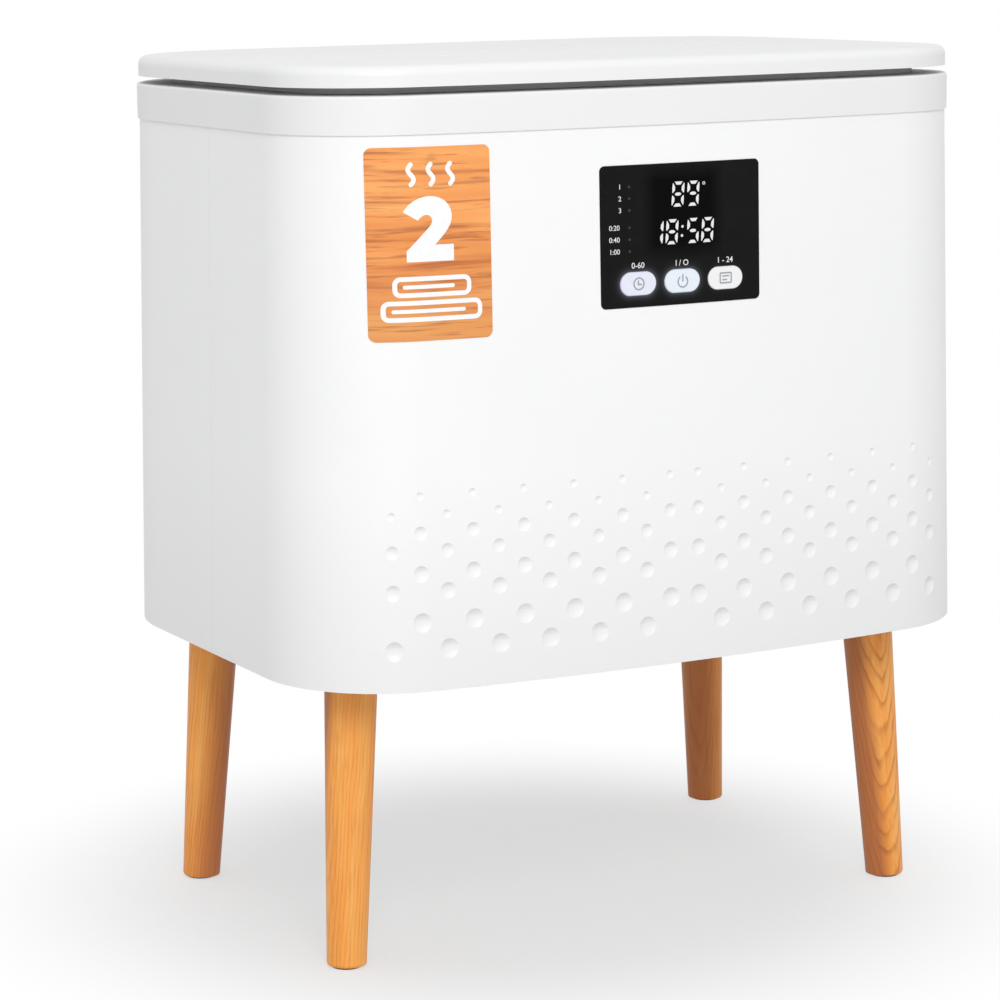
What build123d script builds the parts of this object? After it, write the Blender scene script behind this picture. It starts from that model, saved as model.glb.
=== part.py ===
from build123d import *
import os
from math import radians, sqrt, tan

os.makedirs("parts", exist_ok=True)

# Towel warmer bucket: a bowed, rounded tub on four splayed legs, with a hinged lid.
# Millimetres. +Z is up, the front faces -Y, and the origin is on the floor under the middle.

# --- Plan of the body, at the seam between shell and rim ---
body_width = 450.0
body_depth = 340.0
front_bow_radius = 1600.0
front_corner_radius = 70.0
rear_corner_radius = 95.0

# --- Heights, from the floor up ---
leg_height = 174.0
shell_height = 314.0
rim_height = 21.5
lid_gap = 4.5
lid_thickness = 12.0

# --- Clearances ---
fit_gap = 0.3
hole_clearance = 0.15
button_gap = 0.4
hinge_clearance = 0.05
cut_margin = 10.0

# --- Shell, in a front and a rear half ---
shell_wall = 2.5
shell_draft = 1.1
seam_y = -12.0
tongue_thickness = 2.0
tongue_reach = 8.0
lip_thickness = 2.5
lip_width = 12.0
ledge_thickness = 2.5
ledge_width = 13.0
ledge_drop = 7.0

# --- Dimples in the lower front: columns mirrored about the middle, odd ones set higher ---
dimple_columns = 12
dimple_pitch = 15.85
dimple_first = 0.6
dimple_diameters = (11.4, 9.5, 8.0, 4.8)
dimple_heights_odd = (39.9, 67.9, 91.2, 112.2)
dimple_heights_even = (24.2, 57.5, 80.6, 101.2)
dimple_depth_ratio = 0.14

# --- Rim that caps the shell and carries tub and hinges ---
rim_overhang = 1.2
rim_wall = 2.5
rim_foot = 3.0
rim_plate = 4.0
rim_edge_radius = 1.5
mouth_lip_thickness = 1.7
mouth_lip_depth = 7.0
rim_boss_inset = 8.5
screw_boss_radius = 4.0

# --- Tub, heaters and insulation ---
tub_inset = 27.0
tub_wall = 1.5
tub_flange_width = 12.0
tub_floor_height = 90.0
tub_floor_radius = 12.0
film_thickness = 0.6
film_margin = 18.0
film_height = 175.0
insulation_thickness = 5.4
insulation_margin = 10.0
heater_margin = 30.0
heater_thickness = 1.5

# --- Base plate ---
base_thickness = 3.0
base_boss_height = 7.5
vent_count = 7
vent_length = 44.0
vent_width = 4.0
vent_pitch = 10.0
boss_trim_gap = 0.5

# --- Legs ---
leg_inset_x = 44.0
leg_inset_y = 71.0
leg_splay_x = 10.5
leg_splay_y = 8.5
leg_top_radius = 15.8
leg_foot_radius = 11.8
leg_overrun = 8.0
foot_edge_radius = 2.5
pad_height = 1.2
pad_radius = 9.0
pad_spigot_radius = 3.0
pad_spigot_height = 6.0
bracket_size = 40.0
bracket_thickness = 2.0
bracket_corner_radius = 4.0
leg_bolt_radius = 3.0
leg_bolt_depth = 26.0
leg_bolt_head = 5.5
leg_bolt_head_height = 4.0
washer_radius = 7.0
washer_thickness = 1.2

# --- Control panel ---
panel_width = 106.5
panel_height = 81.0
panel_drop = 22.4
panel_corner_radius = 3.0
panel_recess = 1.2
panel_proud = 0.3
panel_ledge = 3.0
board_setback = 13.3
board_margin = 5.0
board_corner_radius = 3.0
board_thickness = 1.6
board_post_outset = 4.5
board_post_inset = 0.5
board_post_radius = 3.5
guide_setback = 3.3
display_width = 46.0
display_height = 42.0
display_x = 3.5
display_drop = 28.6
led_x = -34.6
led_drops = (12.5, 19.2, 25.9, 35.8, 42.5, 49.3)
led_size = 2.0
led_height = 1.0
led_well_radius = 1.6
buzzer_radius = 5.0
buzzer_height = 5.0
buzzer_x = 36.0
buzzer_z_offset = 22.0

# --- Buttons ---
button_width = 23.3
button_height = 13.2
button_pitch = 29.25
button_rise = 13.4
button_edge = 0.4
button_proud = 0.8
button_travel = 1.0
button_flange = 1.2
button_flange_thickness = 1.0
stem_radius = 2.0
switch_size = 6.0
switch_height = 3.5
plunger_radius = 1.7
plunger_height = 0.9
plunger_gap = 0.1

# --- Lid ---
cover_wall = 2.5
cover_edge_radius = 5.5
liner_thickness = 2.5
plug_flange_inset = 20.0
plug_flange_thickness = 2.2
plug_inset = 32.0
plug_depth = 10.5
plug_wall = 2.5
plug_edge_radius = 1.5
gasket_width = 6.5
lid_screw_inset = 29.5
lid_post_radius = 3.5
lid_screw_head_radius = 2.2
lid_screw_head_height = 1.2
lid_dimple_columns = 13
lid_dimple_rows = 4
lid_dimple_pitch = 28.0
lid_dimple_row_pitch = 27.0
lid_dimple_diameter = 6.0

# --- Hinges, one on each side of the rear ---
hinge_x = 100.0
hinge_rear_inset = 6.0
hinge_rise = 7.5
knuckle_radius = 4.0
knuckle_width = 16.0
lid_knuckle_width = 6.0
pin_radius = 2.0
stem_depth = 6.0
hinge_foot_width = 20.0
hinge_foot_front = 12.5
hinge_foot_rear = 2.5
hinge_foot_thickness = 2.5
hinge_plate_reach = 22.0
hinge_plate_drop = 2.6
hinge_screw_setback = 6.0
hinge_screw_spread = 9.0
hinge_screw_length = 5.5
hinge_foot_corner = 1.5
hinge_web_setback = 3.0
hinge_web_rise = 0.5
hinge_web_thickness = 5.0
hinge_plate_thickness = 2.5
hinge_pocket_width = 33.0
hinge_pocket_depth = 12.5
hinge_pocket_cover = 4.5

# --- Screws, all with plain round heads ---
screw_radius = 1.4
screw_head_radius = 2.5
screw_head_height = 1.4
screw_length = 9.0
rim_screw_length = 14.0
screw_share_rear = 0.5
screw_share_front = 0.5
bore_relief = 1.0

# --- Cord gland at the rear ---
gland_x = 105.0
gland_height = 25.0
gland_flange_radius = 10.0
gland_flange_thickness = 2.0
gland_body_radius = 7.0
gland_length = 14.0
cord_bore_radius = 3.6
gland_sink = 0.5
gland_boss_radius = 14.0
gland_boss_depth = 5.5
gland_nut_radius = 11.0
gland_nut_thickness = 5.0

# --- Power electronics on the base plate ---
power_x = 55.0
power_y = 25.0
power_width = 110.0
power_depth = 66.0
power_post_inset = 6.0
power_post_height = 8.0
power_post_radius = 3.5
power_board_corner = 3.0
transformer_size = (30.0, 26.0, 20.0)
transformer_winding = (18.0, 34.0, 14.0)
transformer_x = -28.0
transformer_chamfer = 1.0
relay_size = (19.0, 15.0, 15.0)
relay_place = (8.0, 14.0)
relay_corner = 1.0
capacitor_radius = 6.0
capacitor_height = 20.0
capacitor_place = (8.0, -14.0)
capacitor_edge = 1.0
terminal_size = (12.0, 30.0, 12.0)
terminal_x = 36.0
terminal_slot = (8.0, 6.0, 5.0)
terminal_slot_pitch = 9.0

# --- Thermostat, fuse and sensor under the tub ---
thermostat_place = (-60.0, 0.0)
thermostat_flange_radius = 9.0
thermostat_flange_height = 3.0
thermostat_radius = 7.0
thermostat_height = 10.0
thermostat_tab = (1.0, 5.0, 5.0)
thermostat_tab_pitch = 8.0
fuse_place = (0.0, 45.0)
fuse_radius = 2.4
fuse_length = 16.0
fuse_clip = (6.0, 12.0, 6.0)
sensor_place = (20.0, -50.0)
sensor_flange_radius = 5.0
sensor_flange_height = 4.0
sensor_radius = 2.0
sensor_height = 9.0

# --- Wood-grain label on the left of the front ---
label_width = 71.0
label_height = 107.6
label_side_inset = 32.0
label_drop = 6.8
label_thickness = 0.3
label_glue = 0.05
label_corner_radius = 4.0

# --- Levels worked out from the sizes above ---
shell_bottom = leg_height
shell_top = shell_bottom + shell_height
rim_top = shell_top + rim_height
lid_bottom = rim_top + lid_gap
lid_top = lid_bottom + lid_thickness
base_bottom = shell_bottom + lip_thickness
base_top = base_bottom + base_thickness
ledge_top = shell_top - ledge_drop
ledge_bottom = ledge_top - ledge_thickness
tub_top = rim_top - rim_plate
tub_bottom = shell_bottom + tub_floor_height
film_bottom = tub_bottom + film_margin
film_top = film_bottom + film_height
heater_bottom = tub_bottom - heater_thickness
mouth_inset = tub_inset + tub_wall + fit_gap + mouth_lip_thickness
panel_top = shell_top - panel_drop
panel_z = panel_top - panel_height / 2
button_z = panel_top - panel_height + button_rise
hinge_y = body_depth / 2 - hinge_rear_inset
hinge_z = rim_top + hinge_rise
plug_flange_bottom = lid_bottom - plug_flange_thickness
liner_top = lid_bottom + liner_thickness
cover_ceiling = lid_top - cover_wall
bow_centre_y = front_bow_radius - body_depth / 2
corner_x = body_width / 2 - front_corner_radius
corner_y = bow_centre_y - sqrt((front_bow_radius - front_corner_radius) ** 2 - corner_x ** 2)
rear_corner_x = body_width / 2 - rear_corner_radius
rear_corner_y = body_depth / 2 - rear_corner_radius
leg_top_x = body_width / 2 - leg_inset_x
leg_top_y = body_depth / 2 - leg_inset_y
label_x = label_side_inset + label_width / 2 - body_width / 2
board_post_x = panel_width / 2 + board_post_outset
board_post_z = panel_height / 2 - board_post_inset
board_width = 2 * (board_post_x + board_margin)
board_height = 2 * (board_post_z + board_margin)


def flare(z):
    """How far the drafted shell stands outside the plan at height z."""
    return (shell_top - z) * tan(radians(shell_draft))


def front_point(x, grow=0.0):
    """Y of the front at x, and its outward direction, with the plan moved outwards by grow."""
    bow = front_bow_radius + grow
    corner = front_corner_radius + grow
    if abs(x) <= corner_x * bow / (front_bow_radius - front_corner_radius):
        y = bow_centre_y - sqrt(bow ** 2 - x ** 2)
        return y, Vector(x / bow, (y - bow_centre_y) / bow, 0)
    side = 1 if x > 0 else -1
    reach = x - side * corner_x
    y = corner_y - sqrt(corner ** 2 - reach ** 2)
    return y, Vector(reach / corner, (y - corner_y) / corner, 0)


panel_face = front_point(0, flare(panel_z))[0]
board_front = panel_face + board_setback
board_back = board_front + board_thickness
guide_front = panel_face + guide_setback
switch_tip = board_front - switch_height - plunger_height


def body_plan(grow):
    """Face of the body's plan: flat back, straight sides, bowed front and round corners."""
    with BuildSketch() as plan:
        Rectangle(body_width + 2 * grow, body_depth + 2 * grow)
        with Locations((0, bow_centre_y)):
            Circle(front_bow_radius + grow, mode=Mode.INTERSECT)
        fillet(plan.vertices().group_by(Axis.Y)[0], front_corner_radius + grow)
        fillet(plan.vertices().group_by(Axis.Y)[-1], rear_corner_radius + grow)
    return plan.sketch


def band(low, high, outer, inner=None, mode=Mode.ADD):
    """Upright layer of the plan from low to high, hollow inside the inner line if one is given."""
    with BuildSketch(Plane.XY.offset(low)) as section:
        add(body_plan(outer))
        if inner is not None:
            add(body_plan(inner), mode=Mode.SUBTRACT)
    extrude(section.sketch, amount=high - low, mode=mode)


def drafted(low, high, grow, mode=Mode.ADD):
    """Layer of the plan from low to high that leans with the shell's draft."""
    with BuildSketch(Plane.XY.offset(low)) as section:
        add(body_plan(grow + flare(low)))
    extrude(section.sketch, amount=high - low, taper=shell_draft, mode=mode)


def upright(y):
    """Plane that faces the front, with X across and Z up, at depth y."""
    return Plane.XZ.offset(-y)


def screw(places, turn, length, head_radius=screw_head_radius, head_height=screw_head_height):
    """Round-headed screws: the head's seat is at each place and the shank runs along turn."""
    with Locations(*[Location(place, turn) for place in places]):
        Cylinder(screw_radius, length, align=(Align.CENTER, Align.CENTER, Align.MIN))
        Cylinder(head_radius, head_height, align=(Align.CENTER, Align.CENTER, Align.MAX))


def bores(places, turn, depth, radius):
    """Round holes of the given depth, sunk from each place along turn."""
    with Locations(*[Location(place, turn) for place in places]):
        Cylinder(radius, depth, align=(Align.CENTER, Align.CENTER, Align.MIN), mode=Mode.SUBTRACT)


def posts(places, turn, height, radius):
    """Round posts of the given height, raised from each place along turn."""
    with Locations(*[Location(place, turn) for place in places]):
        Cylinder(radius, height, align=(Align.CENTER, Align.CENTER, Align.MIN))


def keep(builder, name):
    """Label a finished piece and write it under its own name."""
    builder.part.label = name
    export_step(builder.part, f"parts/{name}.step")


UP = (0, 0, 0)
DOWN = (180, 0, 0)
TO_FRONT = (90, 0, 0)
TO_REAR = (-90, 0, 0)
SIDES = (-1, 1)
pilot = screw_radius + hole_clearance


def ring_places(inset, z):
    """Mirrored places on the line at the given inset: along the rear, the front and each half's side."""
    middles = ((corner_y + seam_y) / 2, (seam_y + rear_corner_y) / 2)
    rear = [(side * screw_share_rear * rear_corner_x, body_depth / 2 - inset, z) for side in SIDES]
    flank = [(side * (body_width / 2 - inset), y, z) for y in middles for side in SIDES]
    front_x = screw_share_front * corner_x
    front = [(side * front_x, front_point(front_x, -inset)[0], z) for side in SIDES]
    return rear + flank + front


rim_screw_places = ring_places(rim_boss_inset, ledge_bottom)
base_screw_places = ring_places(lip_width / 2 + shell_wall - flare(base_bottom), shell_bottom)
tub_screw_places = ring_places(tub_inset - tub_flange_width / 2, tub_top - tub_wall)
lid_screw_places = ring_places(lid_screw_inset, plug_flange_bottom)
leg_tops = [(i * leg_top_x, j * leg_top_y) for j in SIDES for i in SIDES]
board_posts = [(i * board_post_x, panel_z + j * board_post_z) for j in SIDES for i in SIDES]
power_posts = [(power_x + i * (power_width / 2 - power_post_inset),
                power_y + j * (power_depth / 2 - power_post_inset)) for j in SIDES for i in SIDES]

# --- Front shell: bowed and drafted wall, dimples, panel recess, lip, ledge and board posts ---
with BuildPart() as panel_pocket:
    drafted(panel_top - panel_height - cut_margin, panel_top + cut_margin, panel_proud)
    drafted(panel_top - panel_height - cut_margin, panel_top + cut_margin, -panel_recess,
            mode=Mode.SUBTRACT)
    with BuildSketch(Plane.XZ):
        with Locations((0, panel_z)):
            RectangleRounded(panel_width + 2 * fit_gap, panel_height + 2 * fit_gap,
                             panel_corner_radius + fit_gap)
    extrude(amount=body_depth, mode=Mode.INTERSECT)


def shell_ring():
    """Whole shell before it is parted: wall, bottom lip and upper ledge."""
    drafted(shell_bottom, shell_top, 0)
    drafted(shell_bottom, shell_top, -shell_wall, mode=Mode.SUBTRACT)
    band(shell_bottom, base_bottom, flare(base_bottom) - shell_wall / 2,
         flare(base_bottom) - shell_wall - lip_width)
    band(ledge_bottom, ledge_top, -shell_wall / 2, -shell_wall - ledge_width)


def dimple_ball(diameter):
    """Radius of the ball that cuts a dimple of this diameter, and how far its centre stands off."""
    depth = dimple_depth_ratio * diameter
    ball = (diameter ** 2 / 4 + depth ** 2) / (2 * depth)
    return ball, ball - depth


def dimple_centres(row):
    """Centres of the balls of one row, a little lower on every other column."""
    centres = []
    for column in range(dimple_columns):
        heights = dimple_heights_even if column % 2 else dimple_heights_odd
        z = shell_bottom + heights[row]
        for side in SIDES:
            x = side * (column + dimple_first) * dimple_pitch
            y, outward = front_point(x, flare(z))
            centres.append(Vector(x, y, z) + outward * dimple_ball(dimple_diameters[row])[1])
    return centres


with BuildPart() as front_shell:
    shell_ring()
    split(bisect_by=upright(seam_y - fit_gap / 2), keep=Keep.TOP)
    add(panel_pocket.part, mode=Mode.SUBTRACT)
    post_places = [(x, front_point(x)[0] + shell_wall / 2, z) for x, z in board_posts]
    for place in post_places:
        posts([place], TO_REAR, board_front - place[1], board_post_radius)
        bores([(place[0], board_front, place[2])], TO_FRONT, screw_length, pilot)
    with BuildSketch(Plane.XZ):
        with Locations((0, panel_z)):
            Rectangle(panel_width - 2 * panel_ledge, panel_height - 2 * panel_ledge)
    extrude(amount=body_depth, mode=Mode.SUBTRACT)
    for row in range(len(dimple_diameters)):
        with Locations(*dimple_centres(row)):
            Sphere(dimple_ball(dimple_diameters[row])[0], mode=Mode.SUBTRACT)
    bores([place for place in rim_screw_places if place[1] < seam_y], UP, ledge_thickness, pilot)
    bores([place for place in base_screw_places if place[1] < seam_y], UP, lip_thickness, pilot)
keep(front_shell, "front_shell")

# --- Rear shell: the other half, with the seam's tongue and a seat for the cord gland ---
gland_z = shell_bottom + gland_height
gland_face = body_depth / 2 + flare(gland_z) - gland_sink
gland_seat = gland_face - gland_flange_thickness
gland_boss_y = body_depth / 2 - shell_wall + flare(gland_z) - gland_boss_depth + shell_wall / 2

with BuildPart() as seam_tongue:
    drafted(base_top + fit_gap, ledge_bottom - fit_gap, -shell_wall - fit_gap)
    drafted(base_top + fit_gap, ledge_bottom - fit_gap, -shell_wall - fit_gap - tongue_thickness,
            mode=Mode.SUBTRACT)
    with Locations((0, seam_y, (base_top + ledge_bottom) / 2)):
        Box(body_width * 2, 2 * tongue_reach, shell_height, mode=Mode.INTERSECT)

with BuildPart() as seam_root:
    drafted(base_top + fit_gap, ledge_bottom - fit_gap, -shell_wall / 2)
    drafted(base_top + fit_gap, ledge_bottom - fit_gap, -shell_wall - fit_gap - tongue_thickness,
            mode=Mode.SUBTRACT)
    with Locations((0, seam_y + fit_gap + tongue_reach / 2, (base_top + ledge_bottom) / 2)):
        Box(body_width * 2, tongue_reach - fit_gap, shell_height, mode=Mode.INTERSECT)

with BuildPart() as rear_shell:
    shell_ring()
    split(bisect_by=upright(seam_y + fit_gap / 2), keep=Keep.BOTTOM)
    add(seam_tongue.part)
    add(seam_root.part)
    posts([(gland_x, gland_boss_y, gland_z)], TO_REAR, gland_seat - gland_boss_y, gland_boss_radius)
    bores([(gland_x, gland_seat, gland_z)], TO_REAR, body_depth, gland_flange_radius + fit_gap)
    bores([(gland_x, 0, gland_z)], TO_REAR, body_depth, gland_body_radius + fit_gap)
    bores([place for place in rim_screw_places if place[1] > seam_y], UP, ledge_thickness, pilot)
    bores([place for place in base_screw_places if place[1] > seam_y], UP, lip_thickness, pilot)
keep(rear_shell, "rear_shell")

# --- Cord gland and its nut ---
with BuildPart() as cord_gland:
    posts([(gland_x, gland_face, gland_z)], TO_FRONT, gland_flange_thickness, gland_flange_radius)
    posts([(gland_x, gland_face, gland_z)], TO_FRONT, gland_length, gland_body_radius)
    bores([(gland_x, gland_face, gland_z)], TO_FRONT, gland_length, cord_bore_radius)
keep(cord_gland, "cord_gland")

with BuildPart() as gland_nut:
    with BuildSketch(upright(gland_boss_y)):
        with Locations((gland_x, gland_z)):
            RegularPolygon(gland_nut_radius, 6)
            Circle(gland_body_radius + hole_clearance, mode=Mode.SUBTRACT)
    extrude(amount=gland_nut_thickness)
keep(gland_nut, "gland_nut")

# --- Rim: skirt over the shell's edge, top plate, lip into the tub's mouth, screw bosses ---
hinge_places = [side * hinge_x for side in SIDES]
foot_screw_y = hinge_y - hinge_foot_front + screw_head_radius + fit_gap
foot_screw_x = hinge_foot_width / 2 - screw_head_radius - 2 * fit_gap
foot_screw_places = [(x + side * foot_screw_x, foot_screw_y) for x in hinge_places for side in SIDES]

with BuildPart() as top_rim:
    band(shell_top, rim_top, rim_overhang)
    fillet(top_rim.faces().sort_by(Axis.Z)[-1].edges(), rim_edge_radius)
    band(shell_top, tub_top, rim_overhang - rim_wall, mode=Mode.SUBTRACT)
    band(shell_top, rim_top, -mouth_inset, mode=Mode.SUBTRACT)
    tongue_outer = -shell_wall - fit_gap
    tongue_inner = tongue_outer - tongue_thickness
    band(shell_top, shell_top + rim_foot, rim_overhang - rim_wall / 2, tongue_inner)
    band(ledge_top + fit_gap, shell_top, tongue_outer, tongue_inner)
    band(tub_top - mouth_lip_depth, tub_top, mouth_lip_thickness - mouth_inset, -mouth_inset)
    posts([(x, y, ledge_top) for x, y, z in rim_screw_places], UP, tub_top - ledge_top,
          screw_boss_radius)
    bores([(x, y, ledge_top) for x, y, z in rim_screw_places], UP, rim_screw_length, pilot)
    bores([(x, y, rim_top) for x, y in foot_screw_places], DOWN, rim_plate - fit_gap, pilot)
    bores([(x, y, tub_top) for x, y, z in tub_screw_places], UP, rim_plate - bore_relief, pilot)
keep(top_rim, "top_rim")

with BuildPart() as rim_screws:
    screw(rim_screw_places, UP, rim_screw_length)
keep(rim_screws, "rim_screws")

# --- Base plate: closes the shell from below, carries legs and electronics ---
power_board_bottom = base_top + power_post_height
with BuildPart() as base_plate:
    band(base_bottom, base_top, flare(base_top) - shell_wall - fit_gap)
    posts([(x, y, base_top) for x, y, z in base_screw_places], UP, base_boss_height,
          screw_boss_radius)
    band(base_top, base_top + base_boss_height, screw_boss_radius * 2,
         flare(base_top) - shell_wall - fit_gap - boss_trim_gap, mode=Mode.SUBTRACT)
    bores([(x, y, base_bottom) for x, y, z in base_screw_places], UP, screw_length, pilot)
    posts([(x, y, base_top) for x, y in power_posts], UP, power_post_height, power_post_radius)
    bores([(x, y, power_board_bottom) for x, y in power_posts], DOWN, screw_length, pilot)
    bores([(x, y, base_bottom) for x, y in leg_tops], UP, base_thickness,
          leg_bolt_radius + hole_clearance)
    with BuildSketch(Plane.XY.offset(base_bottom)):
        with GridLocations(vent_pitch, body_depth / 3, vent_count, 2):
            SlotOverall(vent_length, vent_width, rotation=90)
    extrude(amount=base_thickness, mode=Mode.SUBTRACT)
keep(base_plate, "base_plate")

with BuildPart() as base_screws:
    screw(base_screw_places, UP, screw_length + lip_thickness - bore_relief)
keep(base_screws, "base_screws")

# --- Legs: tapered and splayed, cut level at both ends, each with a rubber pad ---
pads = []
for i, j in [(-1, -1), (1, -1), (-1, 1), (1, 1)]:
    top = Vector(i * leg_top_x, j * leg_top_y, leg_height)
    foot = Vector(i * (leg_top_x + leg_splay_x), j * (leg_top_y + leg_splay_y), 0)
    axis_length = (top - foot).length
    taper = (leg_top_radius - leg_foot_radius) / axis_length
    with BuildPart() as leg:
        with Locations(Plane(foot, z_dir=top - foot)):
            Cone(leg_foot_radius, leg_top_radius + taper * leg_overrun, axis_length + leg_overrun,
                 align=(Align.CENTER, Align.CENTER, Align.MIN))
        fillet(leg.faces().sort_by(Axis.Z)[0].edges(), foot_edge_radius)
        split(bisect_by=Plane.XY.offset(base_bottom), keep=Keep.BOTTOM)
        split(bisect_by=Plane.XY.offset(pad_height), keep=Keep.TOP)
        bores([(top.X, top.Y, base_bottom)], DOWN, leg_bolt_depth + bore_relief,
              leg_bolt_radius + hole_clearance)
        bores([(foot.X, foot.Y, pad_height)], UP, pad_spigot_height + bore_relief,
              pad_spigot_radius + hole_clearance)
    keep(leg, f"leg_{'front' if j < 0 else 'rear'}_{'left' if i < 0 else 'right'}")
    pads.append(foot)

with BuildPart() as leg_pads:
    posts(pads, UP, pad_height, pad_radius)
    posts(pads, UP, pad_height + pad_spigot_height, pad_spigot_radius)
keep(leg_pads, "leg_pads")

# --- Steel plates, washers and bolts that hold the legs to the base ---
bracket_top = base_top + bracket_thickness
washer_top = bracket_top + washer_thickness
with BuildPart() as leg_brackets:
    with BuildSketch(Plane.XY.offset(base_top)):
        with Locations(*leg_tops):
            RectangleRounded(bracket_size, bracket_size, bracket_corner_radius)
            Circle(leg_bolt_radius + hole_clearance, mode=Mode.SUBTRACT)
    extrude(amount=bracket_thickness)
keep(leg_brackets, "leg_brackets")

with BuildPart() as leg_washers:
    with BuildSketch(Plane.XY.offset(bracket_top)):
        with Locations(*leg_tops):
            Circle(washer_radius)
            Circle(leg_bolt_radius + hole_clearance, mode=Mode.SUBTRACT)
    extrude(amount=washer_thickness)
keep(leg_washers, "leg_washers")

with BuildPart() as leg_bolts:
    with BuildSketch(Plane.XY.offset(washer_top)):
        with Locations(*leg_tops):
            RegularPolygon(leg_bolt_head, 6)
    extrude(amount=leg_bolt_head_height)
    posts([(x, y, base_bottom - leg_bolt_depth) for x, y in leg_tops], UP,
          washer_top - base_bottom + leg_bolt_depth, leg_bolt_radius)
keep(leg_bolts, "leg_bolts")

# --- Tub with its flange, and what is wrapped round it and fixed under it ---
with BuildPart() as inner_tub:
    band(tub_bottom, tub_top, -tub_inset)
    fillet(inner_tub.faces().sort_by(Axis.Z)[0].edges(), tub_floor_radius)
    offset(amount=-tub_wall, openings=inner_tub.faces().sort_by(Axis.Z)[-1])
    band(tub_top - tub_wall, tub_top, tub_flange_width - tub_inset, -tub_inset - tub_wall / 2)
    bores(tub_screw_places, UP, tub_wall, pilot)
keep(inner_tub, "inner_tub")

with BuildPart() as tub_screws:
    screw(tub_screw_places, UP, tub_wall + rim_plate - 2 * bore_relief)
keep(tub_screws, "tub_screws")

with BuildPart() as heating_film:
    band(film_bottom, film_top, film_thickness - tub_inset, -tub_inset)
keep(heating_film, "heating_film")

with BuildPart() as insulation_wrap:
    band(film_bottom - insulation_margin, film_top + insulation_margin,
         film_thickness + insulation_thickness - tub_inset, film_thickness - tub_inset)
keep(insulation_wrap, "insulation_wrap")

with BuildPart() as floor_heater:
    band(heater_bottom, tub_bottom, -tub_inset - heater_margin)
keep(floor_heater, "floor_heater")

with BuildPart() as thermostat:
    posts([(*thermostat_place, heater_bottom)], DOWN, thermostat_flange_height, thermostat_flange_radius)
    posts([(*thermostat_place, heater_bottom)], DOWN, thermostat_height, thermostat_radius)
    with Locations((*thermostat_place, heater_bottom - thermostat_height)):
        with GridLocations(thermostat_tab_pitch, 0, 2, 1):
            Box(*thermostat_tab, align=(Align.CENTER, Align.CENTER, Align.MAX))
keep(thermostat, "thermostat")

with BuildPart() as thermal_fuse:
    with Locations((*fuse_place, heater_bottom - fuse_clip[2] / 2)):
        Cylinder(fuse_radius, fuse_length, rotation=(0, 90, 0))
        Box(*fuse_clip)
keep(thermal_fuse, "thermal_fuse")

with BuildPart() as temperature_sensor:
    posts([(*sensor_place, heater_bottom)], DOWN, sensor_flange_height, sensor_flange_radius)
    posts([(*sensor_place, heater_bottom)], DOWN, sensor_height, sensor_radius)
keep(temperature_sensor, "temperature_sensor")

# --- Power board and its parts ---
power_board_top = power_board_bottom + board_thickness
with BuildPart() as power_board:
    with BuildSketch(Plane.XY.offset(power_board_bottom)):
        with Locations((power_x, power_y)):
            RectangleRounded(power_width, power_depth, power_board_corner)
        with Locations(*power_posts):
            Circle(pilot, mode=Mode.SUBTRACT)
    extrude(amount=board_thickness)
keep(power_board, "power_board")

with BuildPart() as power_board_screws:
    screw([(x, y, power_board_top) for x, y in power_posts], DOWN, screw_length)
keep(power_board_screws, "power_board_screws")

STANDING = (Align.CENTER, Align.CENTER, Align.MIN)
with BuildPart() as transformer:
    with Locations((power_x + transformer_x, power_y, power_board_top)):
        Box(*transformer_size, align=STANDING)
        Box(*transformer_winding, align=STANDING)
    chamfer(transformer.faces().sort_by(Axis.Z)[-1].edges(), transformer_chamfer)
keep(transformer, "transformer")

with BuildPart() as relay:
    with Locations((power_x + relay_place[0], power_y + relay_place[1], power_board_top)):
        Box(*relay_size, align=STANDING)
    fillet(relay.edges().filter_by(Axis.Z), relay_corner)
keep(relay, "relay")

with BuildPart() as capacitor:
    posts([(power_x + capacitor_place[0], power_y + capacitor_place[1], power_board_top)], UP,
          capacitor_height, capacitor_radius)
    chamfer(capacitor.faces().sort_by(Axis.Z)[-1].edges(), capacitor_edge)
keep(capacitor, "capacitor")

with BuildPart() as terminal_block:
    with Locations((power_x + terminal_x, power_y, power_board_top)):
        Box(*terminal_size, align=STANDING)
    with Locations((power_x + terminal_x + terminal_size[0] / 2, power_y,
                    power_board_top + terminal_size[2] / 2)):
        with GridLocations(0, terminal_slot_pitch, 1, 3):
            Box(*terminal_slot, mode=Mode.SUBTRACT)
keep(terminal_block, "terminal_block")

# --- Control panel: a black plate that follows the bowed front, with three button holes ---
button_places = [(-button_pitch, button_z), (0, button_z), (button_pitch, button_z)]
with BuildPart() as control_panel:
    drafted(panel_top - panel_height - cut_margin, panel_top + cut_margin, panel_proud)
    drafted(panel_top - panel_height - cut_margin, panel_top + cut_margin, -panel_recess,
            mode=Mode.SUBTRACT)
    with BuildSketch(Plane.XZ):
        with Locations((0, panel_z)):
            RectangleRounded(panel_width, panel_height, panel_corner_radius)
        with Locations(*button_places):
            SlotOverall(button_width + 2 * fit_gap, button_height + 2 * fit_gap, mode=Mode.SUBTRACT)
    extrude(amount=body_depth, mode=Mode.INTERSECT)
keep(control_panel, "control_panel")

# --- Control board with its display, switches, lamps and buzzer ---
display_z = panel_top - display_drop
led_places = [(led_x, panel_top - drop) for drop in led_drops]
with BuildPart() as control_board:
    with BuildSketch(upright(board_back)):
        with Locations((0, panel_z)):
            RectangleRounded(board_width, board_height, board_corner_radius)
        with Locations(*board_posts):
            Circle(pilot, mode=Mode.SUBTRACT)
    extrude(amount=board_thickness)
keep(control_board, "control_board")

with BuildPart() as board_screws:
    screw([(x, board_back, z) for x, z in board_posts], TO_FRONT, screw_length)
keep(board_screws, "board_screws")

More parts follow.
